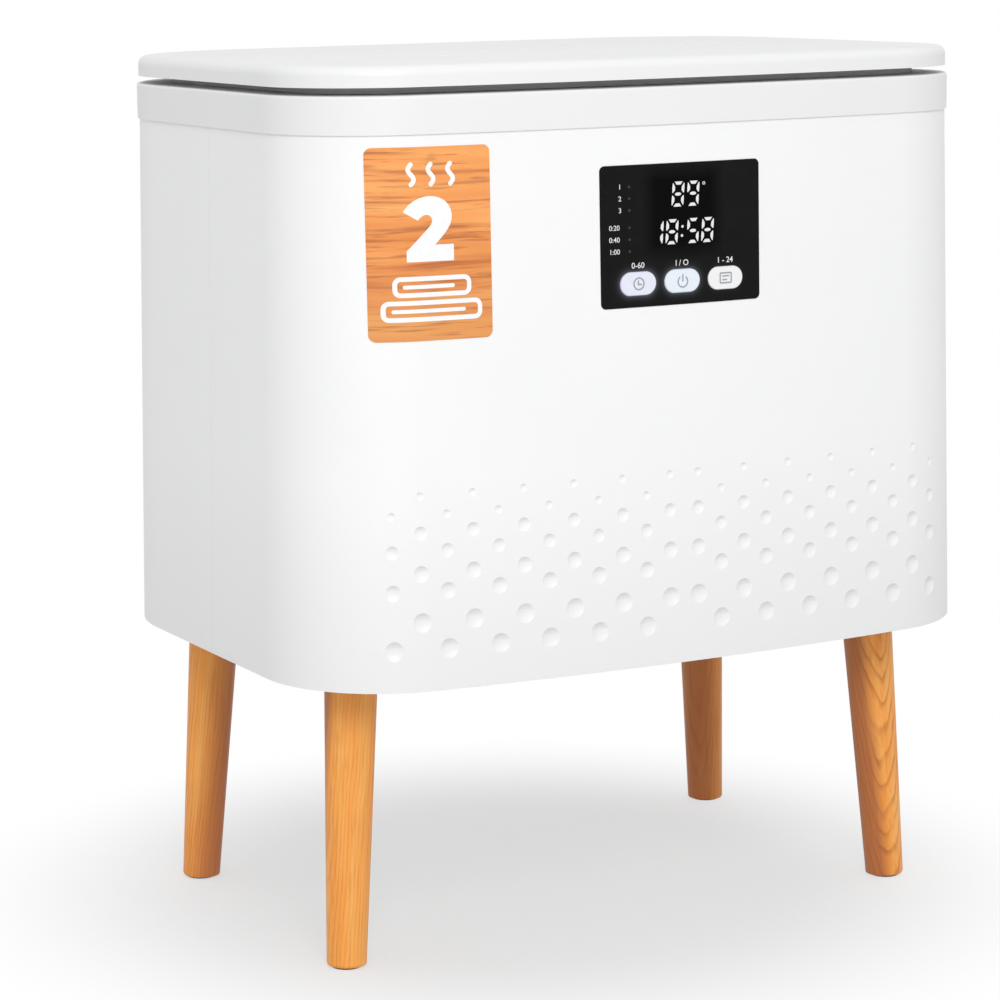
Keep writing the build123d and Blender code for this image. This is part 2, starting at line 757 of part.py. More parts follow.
with BuildPart() as light_guide:
    with BuildSketch(upright(board_front)):
        with Locations((0, panel_z)):
            Rectangle(panel_width - 2 * panel_ledge - 2 * fit_gap,
                      panel_height - 2 * panel_ledge - 2 * fit_gap)
        with Locations((display_x, display_z)):
            Rectangle(display_width + 2 * fit_gap, display_height + 2 * fit_gap, mode=Mode.SUBTRACT)
        with Locations(*led_places):
            Circle(led_well_radius, mode=Mode.SUBTRACT)
        with Locations(*button_places):
            SlotOverall(button_width + 2 * button_flange + 2 * fit_gap,
                        button_height + 2 * button_flange + 2 * fit_gap, mode=Mode.SUBTRACT)
    extrude(amount=board_front - guide_front)
keep(light_guide, "light_guide")

with BuildPart() as display_module:
    with BuildSketch(upright(board_front)):
        with Locations((display_x, display_z)):
            Rectangle(display_width, display_height)
    extrude(amount=board_front - guide_front - fit_gap)
keep(display_module, "display_module")

with BuildPart() as indicator_leds:
    with BuildSketch(upright(board_front)):
        with Locations(*led_places):
            Rectangle(led_size, led_size)
    extrude(amount=led_height)
keep(indicator_leds, "indicator_leds")

with BuildPart() as tact_switches:
    with BuildSketch(upright(board_front)):
        with Locations(*button_places):
            Rectangle(switch_size, switch_size)
    extrude(amount=switch_height)
    posts([(x, board_front - switch_height, z) for x, z in button_places], TO_FRONT,
          plunger_height, plunger_radius)
keep(tact_switches, "tact_switches")

with BuildPart() as buzzer:
    posts([(buzzer_x, board_back, panel_z + buzzer_z_offset)], TO_REAR, buzzer_height, buzzer_radius)
keep(buzzer, "buzzer")

# --- Buttons: capsule caps that slide in the panel, with a flange behind and a stem ---
for name, (x, z) in zip(("time_button", "power_button", "delay_button"), button_places):
    surface = front_point(x, flare(z))[0]
    flange_front = surface + panel_recess + button_gap
    stem_end = switch_tip - button_travel - plunger_gap
    with BuildPart() as cap:
        with BuildSketch(upright(surface - panel_proud - button_proud)):
            with Locations((x, z)):
                SlotOverall(button_width, button_height)
        extrude(amount=-(flange_front + button_flange_thickness - surface + panel_proud + button_proud))
        chamfer(cap.faces().sort_by(Axis.Y)[0].edges(), button_edge)
        with BuildSketch(upright(flange_front + button_flange_thickness)):
            with Locations((x, z)):
                SlotOverall(button_width + 2 * button_flange, button_height + 2 * button_flange)
        extrude(amount=button_flange_thickness)
        posts([(x, flange_front, z)], TO_REAR, stem_end - flange_front, stem_radius)
    keep(cap, name)

# --- Label: a thin printed sheet that follows the front round to the left corner ---
with BuildPart() as front_label:
    drafted(shell_top - label_drop - label_height - cut_margin, shell_top, label_glue + label_thickness)
    drafted(shell_top - label_drop - label_height - cut_margin, shell_top, label_glue,
            mode=Mode.SUBTRACT)
    with BuildSketch(Plane.XZ):
        with Locations((label_x, shell_top - label_drop - label_height / 2)):
            RectangleRounded(label_width, label_height, label_corner_radius)
    extrude(amount=body_depth, mode=Mode.INTERSECT)
keep(front_label, "front_label")

# --- Lid cover: dimpled, rounded slab, hollow below, with screw posts and hinge pockets ---
pocket_front = hinge_y - hinge_pocket_depth + hinge_rear_inset
pocket_top = lid_top - hinge_pocket_cover
block_top = cover_ceiling - hinge_plate_drop
block_bottom = block_top - hinge_plate_thickness
block_screw_y = hinge_y - hinge_plate_reach + hinge_screw_setback
block_screw_places = [(x + side * hinge_screw_spread, block_screw_y, block_bottom)
                      for x in hinge_places for side in SIDES]
with BuildPart() as lid_cover:
    band(lid_bottom, lid_top, 0)
    fillet(lid_cover.faces().sort_by(Axis.Z)[-1].edges(), cover_edge_radius)
    offset(amount=-cover_wall, openings=lid_cover.faces().sort_by(Axis.Z)[0])
    posts([(x, y, liner_top) for x, y, z in lid_screw_places], UP,
          cover_ceiling - liner_top + bore_relief, lid_post_radius)
    bores([(x, y, liner_top) for x, y, z in lid_screw_places], UP,
          plug_flange_bottom + screw_length + bore_relief - liner_top, pilot)
    posts([(x, y, block_top) for x, y, z in block_screw_places], UP,
          cover_ceiling - block_top + bore_relief, lid_post_radius)
    bores(block_screw_places, UP, hinge_screw_length + hole_clearance, pilot)
    with Locations(*[(x, pocket_front, pocket_top) for x in hinge_places]):
        Box(hinge_pocket_width, body_depth, lid_thickness * 2,
            align=(Align.CENTER, Align.MIN, Align.MAX), mode=Mode.SUBTRACT)
    lid_ball, lid_ball_lift = dimple_ball(lid_dimple_diameter)
    with Locations((0, 0, lid_top + lid_ball_lift)):
        with GridLocations(lid_dimple_pitch, lid_dimple_row_pitch, lid_dimple_columns, lid_dimple_rows):
            Sphere(lid_ball, mode=Mode.SUBTRACT)
keep(lid_cover, "lid_cover")

# --- Liner, plug and gasket on the lid's underside ---
with BuildPart() as lid_liner:
    band(lid_bottom, liner_top, -cover_wall - fit_gap)
    bores([(x, y, lid_bottom) for x, y, z in lid_screw_places], UP, liner_thickness, pilot)
    with Locations(*[(x, pocket_front, lid_top) for x in hinge_places]):
        Box(hinge_pocket_width, body_depth, lid_thickness * 3,
            align=(Align.CENTER, Align.MIN, Align.MAX), mode=Mode.SUBTRACT)
keep(lid_liner, "lid_liner")

with BuildPart() as lid_plug:
    band(lid_bottom - plug_depth, lid_bottom, -plug_inset)
    fillet(lid_plug.faces().sort_by(Axis.Z)[0].edges(), plug_edge_radius)
    band(plug_flange_bottom, lid_bottom, -plug_flange_inset)
    band(lid_bottom - plug_depth + plug_wall, lid_bottom, -plug_inset - plug_wall, mode=Mode.SUBTRACT)
    bores(lid_screw_places, UP, plug_flange_thickness, pilot)
keep(lid_plug, "lid_plug")

with BuildPart() as lid_gasket:
    band(rim_top + fit_gap, plug_flange_bottom, -plug_flange_inset, -plug_flange_inset - gasket_width)
keep(lid_gasket, "lid_gasket")

with BuildPart() as lid_insulation:
    band(lid_bottom - plug_depth + plug_wall, lid_bottom, -plug_inset - plug_wall - fit_gap)
keep(lid_insulation, "lid_insulation")

with BuildPart() as lid_screws:
    screw(lid_screw_places, UP, screw_length, lid_screw_head_radius, lid_screw_head_height)
keep(lid_screws, "lid_screws")

# --- Hinges: a fixed knuckle on the rim between two knuckles of a block inside the lid ---
for x, side_name in zip(hinge_places, ("left", "right")):
    with BuildPart() as hinge_bracket:
        with BuildSketch(Plane.XY.offset(rim_top)):
            with Locations((x, hinge_y + (hinge_foot_rear - hinge_foot_front) / 2)):
                Rectangle(hinge_foot_width, hinge_foot_front + hinge_foot_rear)
        extrude(amount=hinge_foot_thickness)
        fillet(hinge_bracket.edges().filter_by(Axis.Z), hinge_foot_corner)
        with BuildSketch(Plane.YZ.offset(x - knuckle_width / 2)):
            with Locations((hinge_y, rim_top + hinge_foot_thickness)):
                Rectangle(stem_depth, hinge_rise - hinge_foot_thickness, align=(Align.CENTER, Align.MIN))
            with Locations((hinge_y, hinge_z)):
                Circle(knuckle_radius)
        extrude(amount=knuckle_width)
        with Locations((x, hinge_y, hinge_z)):
            Cylinder(pin_radius + hinge_clearance, hinge_foot_width * 2, rotation=(0, 90, 0),
                     mode=Mode.SUBTRACT)
        bores([(px, py, rim_top) for px, py in foot_screw_places if abs(px - x) < hinge_foot_width],
              UP, hinge_foot_thickness, pilot)
    keep(hinge_bracket, f"hinge_bracket_{side_name}")

    block_width = knuckle_width + 2 * lid_knuckle_width + 2 * fit_gap
    with BuildPart() as hinge_block:
        with Locations((x, hinge_y - hinge_plate_reach, block_top)):
            Box(block_width, hinge_plate_reach - knuckle_radius, hinge_plate_thickness,
                align=(Align.CENTER, Align.MIN, Align.MAX))
        with Locations(*[(x + side * (block_width - lid_knuckle_width) / 2, hinge_y, hinge_z)
                         for side in SIDES]):
            Cylinder(knuckle_radius, lid_knuckle_width, rotation=(0, 90, 0))
            with Locations((0, -hinge_web_setback, hinge_web_rise)):
                Box(lid_knuckle_width, 2 * hinge_web_setback, hinge_web_thickness)
            Cylinder(pin_radius + hinge_clearance, block_width, rotation=(0, 90, 0),
                     mode=Mode.SUBTRACT)
        bores([place for place in block_screw_places if abs(place[0] - x) < block_width],
              UP, hinge_plate_thickness, pilot)
    keep(hinge_block, f"hinge_block_{side_name}")

with BuildPart() as hinge_pins:
    with Locations(*[(x, hinge_y, hinge_z) for x in hinge_places]):
        Cylinder(pin_radius, block_width, rotation=(0, 90, 0))
keep(hinge_pins, "hinge_pins")

with BuildPart() as hinge_foot_screws:
    screw([(x, y, rim_top + hinge_foot_thickness) for x, y in foot_screw_places], DOWN,
          hinge_foot_thickness + rim_plate - bore_relief)
keep(hinge_foot_screws, "hinge_foot_screws")

with BuildPart() as hinge_block_screws:
    screw(block_screw_places, UP, hinge_screw_length)
keep(hinge_block_screws, "hinge_block_screws")
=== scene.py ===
import math

import bmesh
import bpy
from mathutils import Euler, Matrix, Vector
from mathutils.bvhtree import BVHTree


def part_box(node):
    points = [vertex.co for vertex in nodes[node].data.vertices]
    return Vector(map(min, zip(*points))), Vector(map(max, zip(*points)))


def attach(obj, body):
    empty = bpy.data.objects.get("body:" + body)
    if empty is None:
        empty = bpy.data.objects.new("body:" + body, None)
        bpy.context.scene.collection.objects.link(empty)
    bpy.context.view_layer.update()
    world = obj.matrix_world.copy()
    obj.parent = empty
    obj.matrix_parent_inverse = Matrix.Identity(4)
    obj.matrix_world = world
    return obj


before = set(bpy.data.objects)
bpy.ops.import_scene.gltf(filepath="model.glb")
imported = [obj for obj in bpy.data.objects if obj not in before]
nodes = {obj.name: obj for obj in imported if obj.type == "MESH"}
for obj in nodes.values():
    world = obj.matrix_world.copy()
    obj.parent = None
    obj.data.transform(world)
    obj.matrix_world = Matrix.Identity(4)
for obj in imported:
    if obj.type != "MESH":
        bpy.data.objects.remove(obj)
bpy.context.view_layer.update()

# Towel warmer bucket: finishes for every piece, and the printed and lit marks on panel, buttons and label.
# Metres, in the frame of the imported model; outlines of marks are drawn in millimetres.

MM = 0.001

# --- Camera, at the photograph's viewing angle; its frame is a crop, so the view is shifted a little ---
CAMERA_PLACE = (-0.98284, -1.76168, 0.59589)
CAMERA_YAW = -0.46564
CAMERA_DIP = 0.17208
CAMERA_ROLL = -0.01552
CAMERA_SHIFT = 0.1
LENS = 116.742
SENSOR = 36

# --- Light, and the floor, which turns from pale grey to white round FLOOR_MIDDLE over the distances
#     FLOOR_FADE; FLOOR_LEAST is the share of white in its middle ---
AMBIENT = 0.72
AMBIENT_COLOUR = (0.985, 0.99, 1.0, 1)
KEY_POWER = 24.5
KEY_PLACE = (-0.90, -2.05, 1.62)
KEY_TARGET = (0, 0, 0.3)
KEY_SIZE = 1.2
FLOOR_MIDDLE = (-0.02, 0, 0)
FLOOR_FADE = (0.16, 0.38)
FLOOR_LEAST = 0.52
FLOOR_REACH = 4.0

# --- Shell and lid ---
# Height over which the shell turns from the painted shade at its foot to its own white
SHADE_REACH = 0.12
# Z of a face's normal where the painted shade on a face that looks down is darkest, and where it stops
DOWN_SHADE_SLOPES = (-0.5, -0.08)
# Depth under the lid's top where the painted highlight in a dimple starts, and where it is brightest
PIT_HIGHLIGHT_DEPTHS = (0.00002, 0.00015)
# How far from the middle the lid has dimples, in X and Y
LID_DIMPLE_REACH = (0.180, 0.050)

# --- Panel and buttons, in metres ---
# Softness of the display window's edge, inside and outside its outline
WINDOW_EDGE = (-0.006, 0.004)
# How fast the light round a button falls off, per metre
GLOW_FALL = 800.0
# Depth of a button's visible face behind its foremost point, and what the gap round it adds to its size
FACE_DEPTH = 0.0006
FACE_MARGIN = 0.0008
# Button, its body, its mark, the colours of its glow and its plastic, and the strengths of its glow and of
# the light that shows round it
BUTTONS = (("time_button", "time_cap", "clock", "dce2ff", "bcbcc0", 0.40, 0.10),
           ("power_button", "power_cap", "power", "dff1ff", "bcbcc0", 0.40, 0.09),
           ("delay_button", "delay_cap", "list", "f4f4f4", "eaeaea", 0.07, 0.01))

# --- Marks on the panel, measured from its middle line and its top edge, in mm; a slant or lean is a share
#     of the height ---
DIGIT_WIDTH = 8.0
DIGIT_HEIGHT = 14.3
DIGIT_SLANT = math.tan(math.radians(4.5))
TEMPERATURE_TOP = 10.55
TEMPERATURE_X = (-6.7, 3.4)
CLOCK_TOP = 31.95
CLOCK_X = (-20.9, -11.0, 3.1, 13.0)
COLON_X = 0.2
COLON_DROPS = (36.4, 41.6)
COLON_LEAN = 0.08
DEGREE = (15.3, 12.2)
DEGREE_RADII = (0.95, 0.5)
LEVEL_DROPS = (12.1, 18.8, 25.5)
MINUTE_DROPS = (35.3, 42.1, 48.9)
LEVEL_X = -40.6
MINUTE_X = -44.4
LAMP_X = -34.5
WORD_DROP = 57.3
MARK_SIZE, MARK_BOLD = 4.1, 0.03
WORD_SIZE, WORD_BOLD = 4.7, 0.04
LAMP_RADIUS = 0.8
ICON_STROKE = 0.85
# Left, right, top and foot of the display window
WINDOW = (-23.0, 25.5, 3.5, 52.0)

# --- Print, in mm: its thickness, its height off the surface, and the width of the strips that let it follow
#     a curve; a strip of ICON_STRIP is wider than a button's mark ---
PRINT_THICK = 0.05
PRINT_LIFT = 0.03
STRIP = 2.0
ICON_STRIP = 50

# --- Marks on the label, measured from its middle, in mm ---
NUMERAL = [(-16.5, 18.2), (-13.6, 21.8), (-9.9, 24.5), (-5.5, 26.1), (-0.6, 26.7), (4.6, 25.7), (8.8, 23.2),
           (11.4, 19.6), (12.2, 15.4), (11.5, 11.2), (9.2, 7.3), (5.6, 3.3), (1.9, -0.5), (12.9, -0.5),
           (12.9, -9.7), (-14.8, -9.7), (-14.8, -3.6), (-7.4, 3.6), (-2.2, 8.6), (-0.2, 10.9), (0.5, 13.2),
           (-0.5, 15.5), (-3.0, 16.4), (-5.8, 15.5), (-8.2, 13.2)]
# Points of the numeral that stay sharp
NUMERAL_CORNERS = (0, 12, 13, 14, 15, 16, 24)
# Three waves: pitch, foot and top, swing to each side, and steps in the line
WAVE_PITCH = 11.6
WAVE_SPAN = (33.1, 44.2)
WAVE_SWING = 1.6
WAVE_STEPS = 12
# Two folded towels: width, foot and top, and in each the line of its fold, between its insets left and right
TOWELS = ((46.0, -29.4, -17.8), (58.6, -43.0, -31.2))
TOWEL_CORNER = 4.4
FOLD_INSETS = (5.6, 10.0)
FOLD_HALF = 1.1
FOLD_CORNER = 1.0
LABEL_STROKE = 2.6
# Swing of the label's grain, in metres
GRAIN_SWING = 0.006

# --- Grain of the legs, in metres ---
PITH_DISTANCE = 0.050
RING_PITCH = 0.0022
# Darkness across one ring
RING_PROFILE = ((0.0, 0.0), (0.55, 0.12), (0.86, 1.0), (1.0, 0.0))
# How far the rings wander, in rings, and how far the edge of the painted shade does
RING_WANDER = 1.3
SHADE_WANDER = 0.003
# Share of its own colour that the painted shade has where it is full, and the way that it is measured
SHADE_DEPTH = 0.8
SHADE_SIDE = Vector((-0.893, 0.449, 0))
# Bearing of the pith and lean of the grain towards it in degrees, how far the ring lines show, and the
# places where the painted shade starts and where it is full, from the leg's axis towards its shaded side
LEG_GRAIN = {"leg_front_left": (-27, 1.8, 0.4, 0.0105, 0.0150),
             "leg_front_right": (78, 6.0, 0.85, 0.0010, 0.0085),
             "leg_rear_left": (-50, 2.5, 0.5, 0.0045, -0.0120),
             "leg_rear_right": (40, 3.0, 0.6, -0.0170, -0.0010)}
# Height of the slice of a leg's points that gives the middle of its end
END_SLICE = 0.004

# --- Finish: range of noise that colour and roughness follow, depth of fine relief in metres, share by which
#     a glow is uneven, and the scales per metre and the roughness of the white outside ---
NOISE_RANGE = (0.3, 0.7)
FINE_DEPTH = 0.00005
GLOW_UNEVEN = 0.05
WHITE_GRAIN = 1400
WHITE_MOTTLE = 9
WHITE_ROUGH = (0.36, 0.46)


def srgb(code):
    """Linear colour of a hex code, with alpha."""
    values = [int(code[i:i + 2], 16) / 255 for i in (0, 2, 4)]
    return [v / 12.92 if v <= 0.04045 else ((v + 0.055) / 1.055) ** 2.4 for v in values] + [1.0]


# --- Shader helpers ---

class Shader:
    """A node material under construction."""

    def __init__(self, name, **sockets):
        self.material = bpy.data.materials.new(name)
        self.material.use_nodes = True
        self.tree = self.material.node_tree
        self.surface = self.tree.nodes["Principled BSDF"]
        for key, value in sockets.items():
            self.surface.inputs[key.replace("_", " ")].default_value = value

    def node(self, kind, inputs=None, **settings):
        made = self.tree.nodes.new(kind)
        for key, value in settings.items():
            setattr(made, key, value)
        for key, value in (inputs or {}).items():
            self.put(made, key, value)
        return made

    def put(self, made, key, value):
        if isinstance(value, bpy.types.NodeSocket):
            self.tree.links.new(value, made.inputs[key])
        else:
            made.inputs[key].default_value = value

    def place(self, stretch=(1, 1, 1), turn=(0, 0, 0), shift=(0, 0, 0)):
        """Object coordinates, moved, turned and stretched."""
        spot = self.node("ShaderNodeTexCoord").outputs["Object"]
        moved = self.node("ShaderNodeMapping", {"Vector": spot, "Rotation": turn, "Location": shift})
        return self.node("ShaderNodeVectorMath", {0: moved.outputs[0], 1: stretch},
                         operation="MULTIPLY").outputs[0]

    def noise(self, vector, scale, detail=3.0, rough=0.55, distortion=0.0):
        return self.node("ShaderNodeTexNoise", {"Vector": vector, "Scale": scale, "Detail": detail,
                                                "Roughness": rough, "Distortion": distortion}).outputs["Fac"]

    def ramp(self, factor, stops):
        made = self.node("ShaderNodeValToRGB", {"Fac": factor})
        band = made.color_ramp
        while len(band.elements) < len(stops):
            band.elements.new(0.5)
        for element, (position, colour) in zip(band.elements, stops):
            element.position, element.color = position, colour
        return made.outputs["Color"]

    def span(self, value, low, high, start=0.0, end=1.0):
        return self.node("ShaderNodeMapRange", {"Value": value, "From Min": start, "From Max": end,
                                                "To Min": low, "To Max": high}).outputs[0]

    def math(self, operation, *values):
        return self.node("ShaderNodeMath", dict(enumerate(values)), operation=operation).outputs[0]

    def split(self, vector):
        """X, Y and Z of a vector."""
        return self.node("ShaderNodeSeparateXYZ", {"Vector": vector}).outputs

    def two_tone(self, factor, dark, light):
        """Colour between two hex codes, across the usual range of a noise."""
        return self.ramp(factor, [(NOISE_RANGE[0], srgb(dark)), (NOISE_RANGE[1], srgb(light))])

    def grain(self, spot, scale, strength, rough):
        """Fine relief, and the roughness that goes with it."""
        fine = self.noise(spot, scale, 2.0)
        self.relief(fine, strength, FINE_DEPTH)
        return self.span(fine, *rough, *NOISE_RANGE)

    def mix(self, factor, a, b):
        made = self.node("ShaderNodeMix", data_type="RGBA")
        for index, value in ((0, factor), (6, a), (7, b)):
            self.put(made, index, value)
        return made.outputs[2]

    def relief(self, height, strength, distance):
        bump = self.node("ShaderNodeBump", {"Height": height, "Strength": strength, "Distance": distance})
        self.put(self.surface, "Normal", bump.outputs[0])

    def use(self, **links):
        for key, value in links.items():
            self.put(self.surface, key.replace("_", " "), value)
        return self.material


def moulded(name, light, dark, rough, grain, mottle=14):
    """Moulded or coated surface: faint broad mottle, fine grain in roughness and relief."""
    shader = Shader(name)
    spot = shader.place()
    return shader.use(Base_Color=shader.two_tone(shader.noise(spot, mottle), dark, light),
                      Roughness=shader.grain(spot, grain, 0.15, rough))


def shell_white(name, low, high):
    """White shell, with painted shade: a little darker near its foot and where a dimple or an edge faces the
    floor.
    """
    shader = Shader(name)
    spot = shader.place()
    white = shader.two_tone(shader.noise(spot, WHITE_MOTTLE), "f6f6f6", "f8f8f8")
    # Painted shade: the white darkens to efefef towards the shell's foot
    foot = shader.mix(shader.span(shader.split(spot)["Z"], 1.0, 0.0, low, high), white, srgb("efefef"))
    # Painted shade: the white darkens to e0e0e0 where a face looks down, in the upper part of each dimple
    # and under edges
    tilt = shader.split(shader.node("ShaderNodeNewGeometry").outputs["True Normal"])["Z"]
    colour = shader.mix(shader.span(tilt, 1.0, 0.0, *DOWN_SHADE_SLOPES), foot, srgb("e0e0e0"))
    return shader.use(Base_Color=colour, Roughness=shader.grain(spot, WHITE_GRAIN, 0.10, WHITE_ROUGH))


def lid_white(name, top, reach):
    """White lid, with a painted highlight that makes its dimples a little brighter than the face round them.
    """
    shader = Shader(name)
    spot = shader.place()
    white = shader.two_tone(shader.noise(spot, WHITE_MOTTLE), "ededed", "efefef")
    parts = shader.split(spot)
    # Painted highlight: the dimples are lightened to fdfdfd, standing in for the light caught by their far
    # walls
    pit_highlight = shader.span(parts["Z"], 1.0, 0.0, top - PIT_HIGHLIGHT_DEPTHS[1], top - PIT_HIGHLIGHT_DEPTHS[0])
    for axis, limit in zip("XY", reach):
        off = shader.math("ABSOLUTE", parts[axis])
        pit_highlight = shader.math("MULTIPLY", pit_highlight, shader.math("LESS_THAN", off, limit))
    return shader.use(Base_Color=shader.mix(pit_highlight, white, srgb("fdfdfd")),
                      Roughness=shader.grain(spot, WHITE_GRAIN, 0.10, WHITE_ROUGH))


def metal(name, light, dark, rough, stretch, grain):
    """Metal with scratches or brushing drawn out along the short side of the stretch."""
    shader = Shader(name, Metallic=1.0)
    lines = shader.noise(shader.place(stretch), grain, 4.0, 0.6)
    shader.relief(lines, 0.2, 0.00004)
    return shader.use(Base_Color=shader.two_tone(lines, dark, light),
                      Roughness=shader.span(lines, *rough, *NOISE_RANGE))


def ring_lines(shader, flat, wander, fading, contrast):
    """How far the dark line of each ring shows, by the distance from the pith."""
    radius = shader.node("ShaderNodeVectorMath", {0: flat}, operation="LENGTH").outputs["Value"]
    phase = shader.math("ADD", shader.math("DIVIDE", radius, RING_PITCH),
                        shader.span(wander, -RING_WANDER, RING_WANDER))
    profile = [(spot, (dark, dark, dark, 1)) for spot, dark in RING_PROFILE]
    line = shader.ramp(shader.math("FRACT", phase), profile)
    return shader.math("MULTIPLY", line, shader.span(fading, contrast * 0.25, contrast, 0.35, 0.65))


def timber(name, low, high, bearing, lean, contrast, shade_start, shade_end):
    """Oiled wood: rings round a pith beside the leg, which cut its surface as streaks and arcs, and painted
    shade down one side.
    """
    side = Vector((math.cos(math.radians(bearing)), math.sin(math.radians(bearing)), 0))
    grain = (high - low).normalized() + math.tan(math.radians(lean)) * side
    turn = grain.rotation_difference(Vector((0, 0, 1))).to_euler()
    shift = -(turn.to_matrix() @ ((low + high) / 2 + PITH_DISTANCE * side))
    shader = Shader(name, Specular_IOR_Level=0.35)
    flat = shader.place((1, 1, 0), turn, shift)
    wander = shader.noise(shader.place((1, 1, 0.25), turn, shift), 60, 3.0, 0.5)
    fading = shader.noise(shader.place((1, 1, 0.3), turn, shift), 90, 2.0)
    shown = ring_lines(shader, flat, wander, fading, contrast)
    streak = shader.noise(shader.place((1, 1, 0.03), turn, shift), 160, 3.0, 0.6)
    base = shader.ramp(streak, [(0.3, srgb("f69c43")), (0.5, srgb("feab51")), (0.7, srgb("ffba64"))])
    ringed = shader.mix(shown, base, srgb("b4602c"))
    fibre = shader.noise(shader.place((1, 1, 0.02), turn, shift), 900, 3.0, 0.6)
    fine = shader.mix(shader.span(fibre, 0.0, 0.34, 0.53, 0.72), ringed, srgb("b7672f"))
    # Painted shade: each leg darkens to ac613a towards one side, standing in for the shade on that side and
    # under the body
    across = shader.node("ShaderNodeVectorMath", {0: flat, 1: SHADE_SIDE},
                         operation="DOT_PRODUCT").outputs["Value"]
    middle = -PITH_DISTANCE * side.dot(SHADE_SIDE)
    ragged = shader.math("ADD", across, shader.span(streak, -SHADE_WANDER, SHADE_WANDER))
    leg_shade = shader.span(ragged, 0.0, SHADE_DEPTH, middle + shade_start, middle + shade_end)
    colour = shader.mix(leg_shade, fine, srgb("ac613a"))
    shader.relief(fibre, 0.2, 0.00006)
    return shader.use(Base_Color=colour, Roughness=shader.span(fibre, 0.38, 0.52, *NOISE_RANGE))


def label_wood(low, high):
    """Printed wood pattern of the label, with its grain lying across and its lower part browner."""
    shader = Shader("label_print", Specular_IOR_Level=0.3)
    wave = shader.noise(shader.place((0.3, 0.3, 1)), 20, 2.0)
    lifted = shader.node("ShaderNodeCombineXYZ", {"Z": shader.span(wave, -GRAIN_SWING, GRAIN_SWING)})
    flow = shader.node("ShaderNodeVectorMath", {0: shader.place((0.045, 0.045, 1)), 1: lifted.outputs[0]},
                       operation="ADD").outputs[0]
    broad = shader.noise(flow, 60, 2.0, 0.5)
    middle = shader.noise(flow, 150, 2.0, 0.5)
    thin = shader.noise(flow, 480, 3.0, 0.6)
    fleck = shader.noise(shader.place((0.2, 0.2, 1)), 260, 2.0)
    base = shader.ramp(broad, [(0.35, srgb("e58d4c")), (0.5, srgb("f6a25c")), (0.62, srgb("fdb56a"))])
    banded = shader.mix(shader.span(middle, 0.0, 0.6, 0.57, 0.66), base, srgb("bc6b40"))
    lined = shader.mix(shader.span(thin, 0.0, 0.6, 0.55, 0.66), banded, srgb("a65f3a"))
    flecked = shader.mix(shader.span(fleck, 0.0, 0.4, 0.62, 0.74), lined, srgb("b97243"))
    start, end = low + 0.2 * (high - low), low + 0.5 * (high - low)
    shaded = shader.mix(shader.span(shader.split(flow)["Z"], 0.3, 0.0, start, end), flecked, srgb("b5683e"))
    shader.relief(thin, 0.05, 0.00002)
    return shader.use(Base_Color=shaded, Roughness=shader.span(fleck, 0.32, 0.42))


def stadium(shader, spot, centre, width, height):
    """Distance outside a lying capsule, in metres, in the plane of X and Z."""
    parts = shader.split(spot)
    across = shader.math("ABSOLUTE", shader.math("SUBTRACT", parts["X"], centre[0]))
    across = shader.math("MAXIMUM", shader.math("SUBTRACT", across, (width - height) / 2), 0.0)
    up = shader.math("SUBTRACT", parts["Z"], centre[1])
    reach = shader.math("SQRT", shader.math("ADD", shader.math("MULTIPLY", across, across),
                                            shader.math("MULTIPLY", up, up)))
    return shader.math("SUBTRACT", reach, height / 2)


def panel_black(buttons, display):
    """Black panel face: a darker display window with soft edges, and light round the lit buttons."""
    shader = Shader("panel_face", Specular_IOR_Level=0.05)
    spot = shader.place()
    mottle = shader.noise(spot, 120, 2.0)
    parts = shader.split(spot)
    (x0, z0), (x1, z1) = display
    inside = []
    for axis, a, b in (("X", x0, x1), ("Z", z0, z1)):
        off = shader.math("ABSOLUTE", shader.math("SUBTRACT", parts[axis], (a + b) / 2))
        inside.append(shader.span(off, 1.0, 0.0, *((b - a) / 2 + edge for edge in WINDOW_EDGE)))
    window = shader.math("MULTIPLY", *inside)
    colour = shader.mix(window, shader.two_tone(mottle, "151515", "181818"), srgb("030303"))
    glow = 0.0
    for centre, width, height, strength in buttons:
        away = shader.math("MAXIMUM", stadium(shader, spot, centre, width, height), 0.0)
        fade = shader.math("EXPONENT", shader.math("MULTIPLY", away, -GLOW_FALL))
        glow = shader.math("ADD", glow, shader.math("MULTIPLY", fade, strength))
    shader.relief(mottle, 0.04, 0.00003)
    return shader.use(Base_Color=colour, Roughness=shader.span(mottle, 0.30, 0.36),
                      Emission_Color=srgb("dde0f2"), Emission_Strength=glow)


def lit(name, glow, plastic, strength):
    """Translucent plastic lit from behind, its glow uneven by a faint mottle."""
    shader = Shader(name)
    mottle = shader.noise(shader.place(), 220, 2.0)
    shader.relief(mottle, 0.05, 0.00003)
    uneven = shader.span(mottle, strength * (1 - GLOW_UNEVEN), strength * (1 + GLOW_UNEVEN), *NOISE_RANGE)
    return shader.use(Base_Color=srgb(plastic), Roughness=shader.span(mottle, 0.35, 0.45),
                      Emission_Color=srgb(glow), Emission_Strength=uneven)


def felt(name, light, dark):
    """Felted fibre mat."""
    shader = Shader(name)
    tufts = shader.noise(shader.place(), 420, 4.0, 0.7, 0.6)
    shader.relief(tufts, 0.6, 0.0006)
    return shader.use(Base_Color=shader.two_tone(tufts, dark, light),
                      Roughness=shader.span(tufts, 0.85, 0.98))


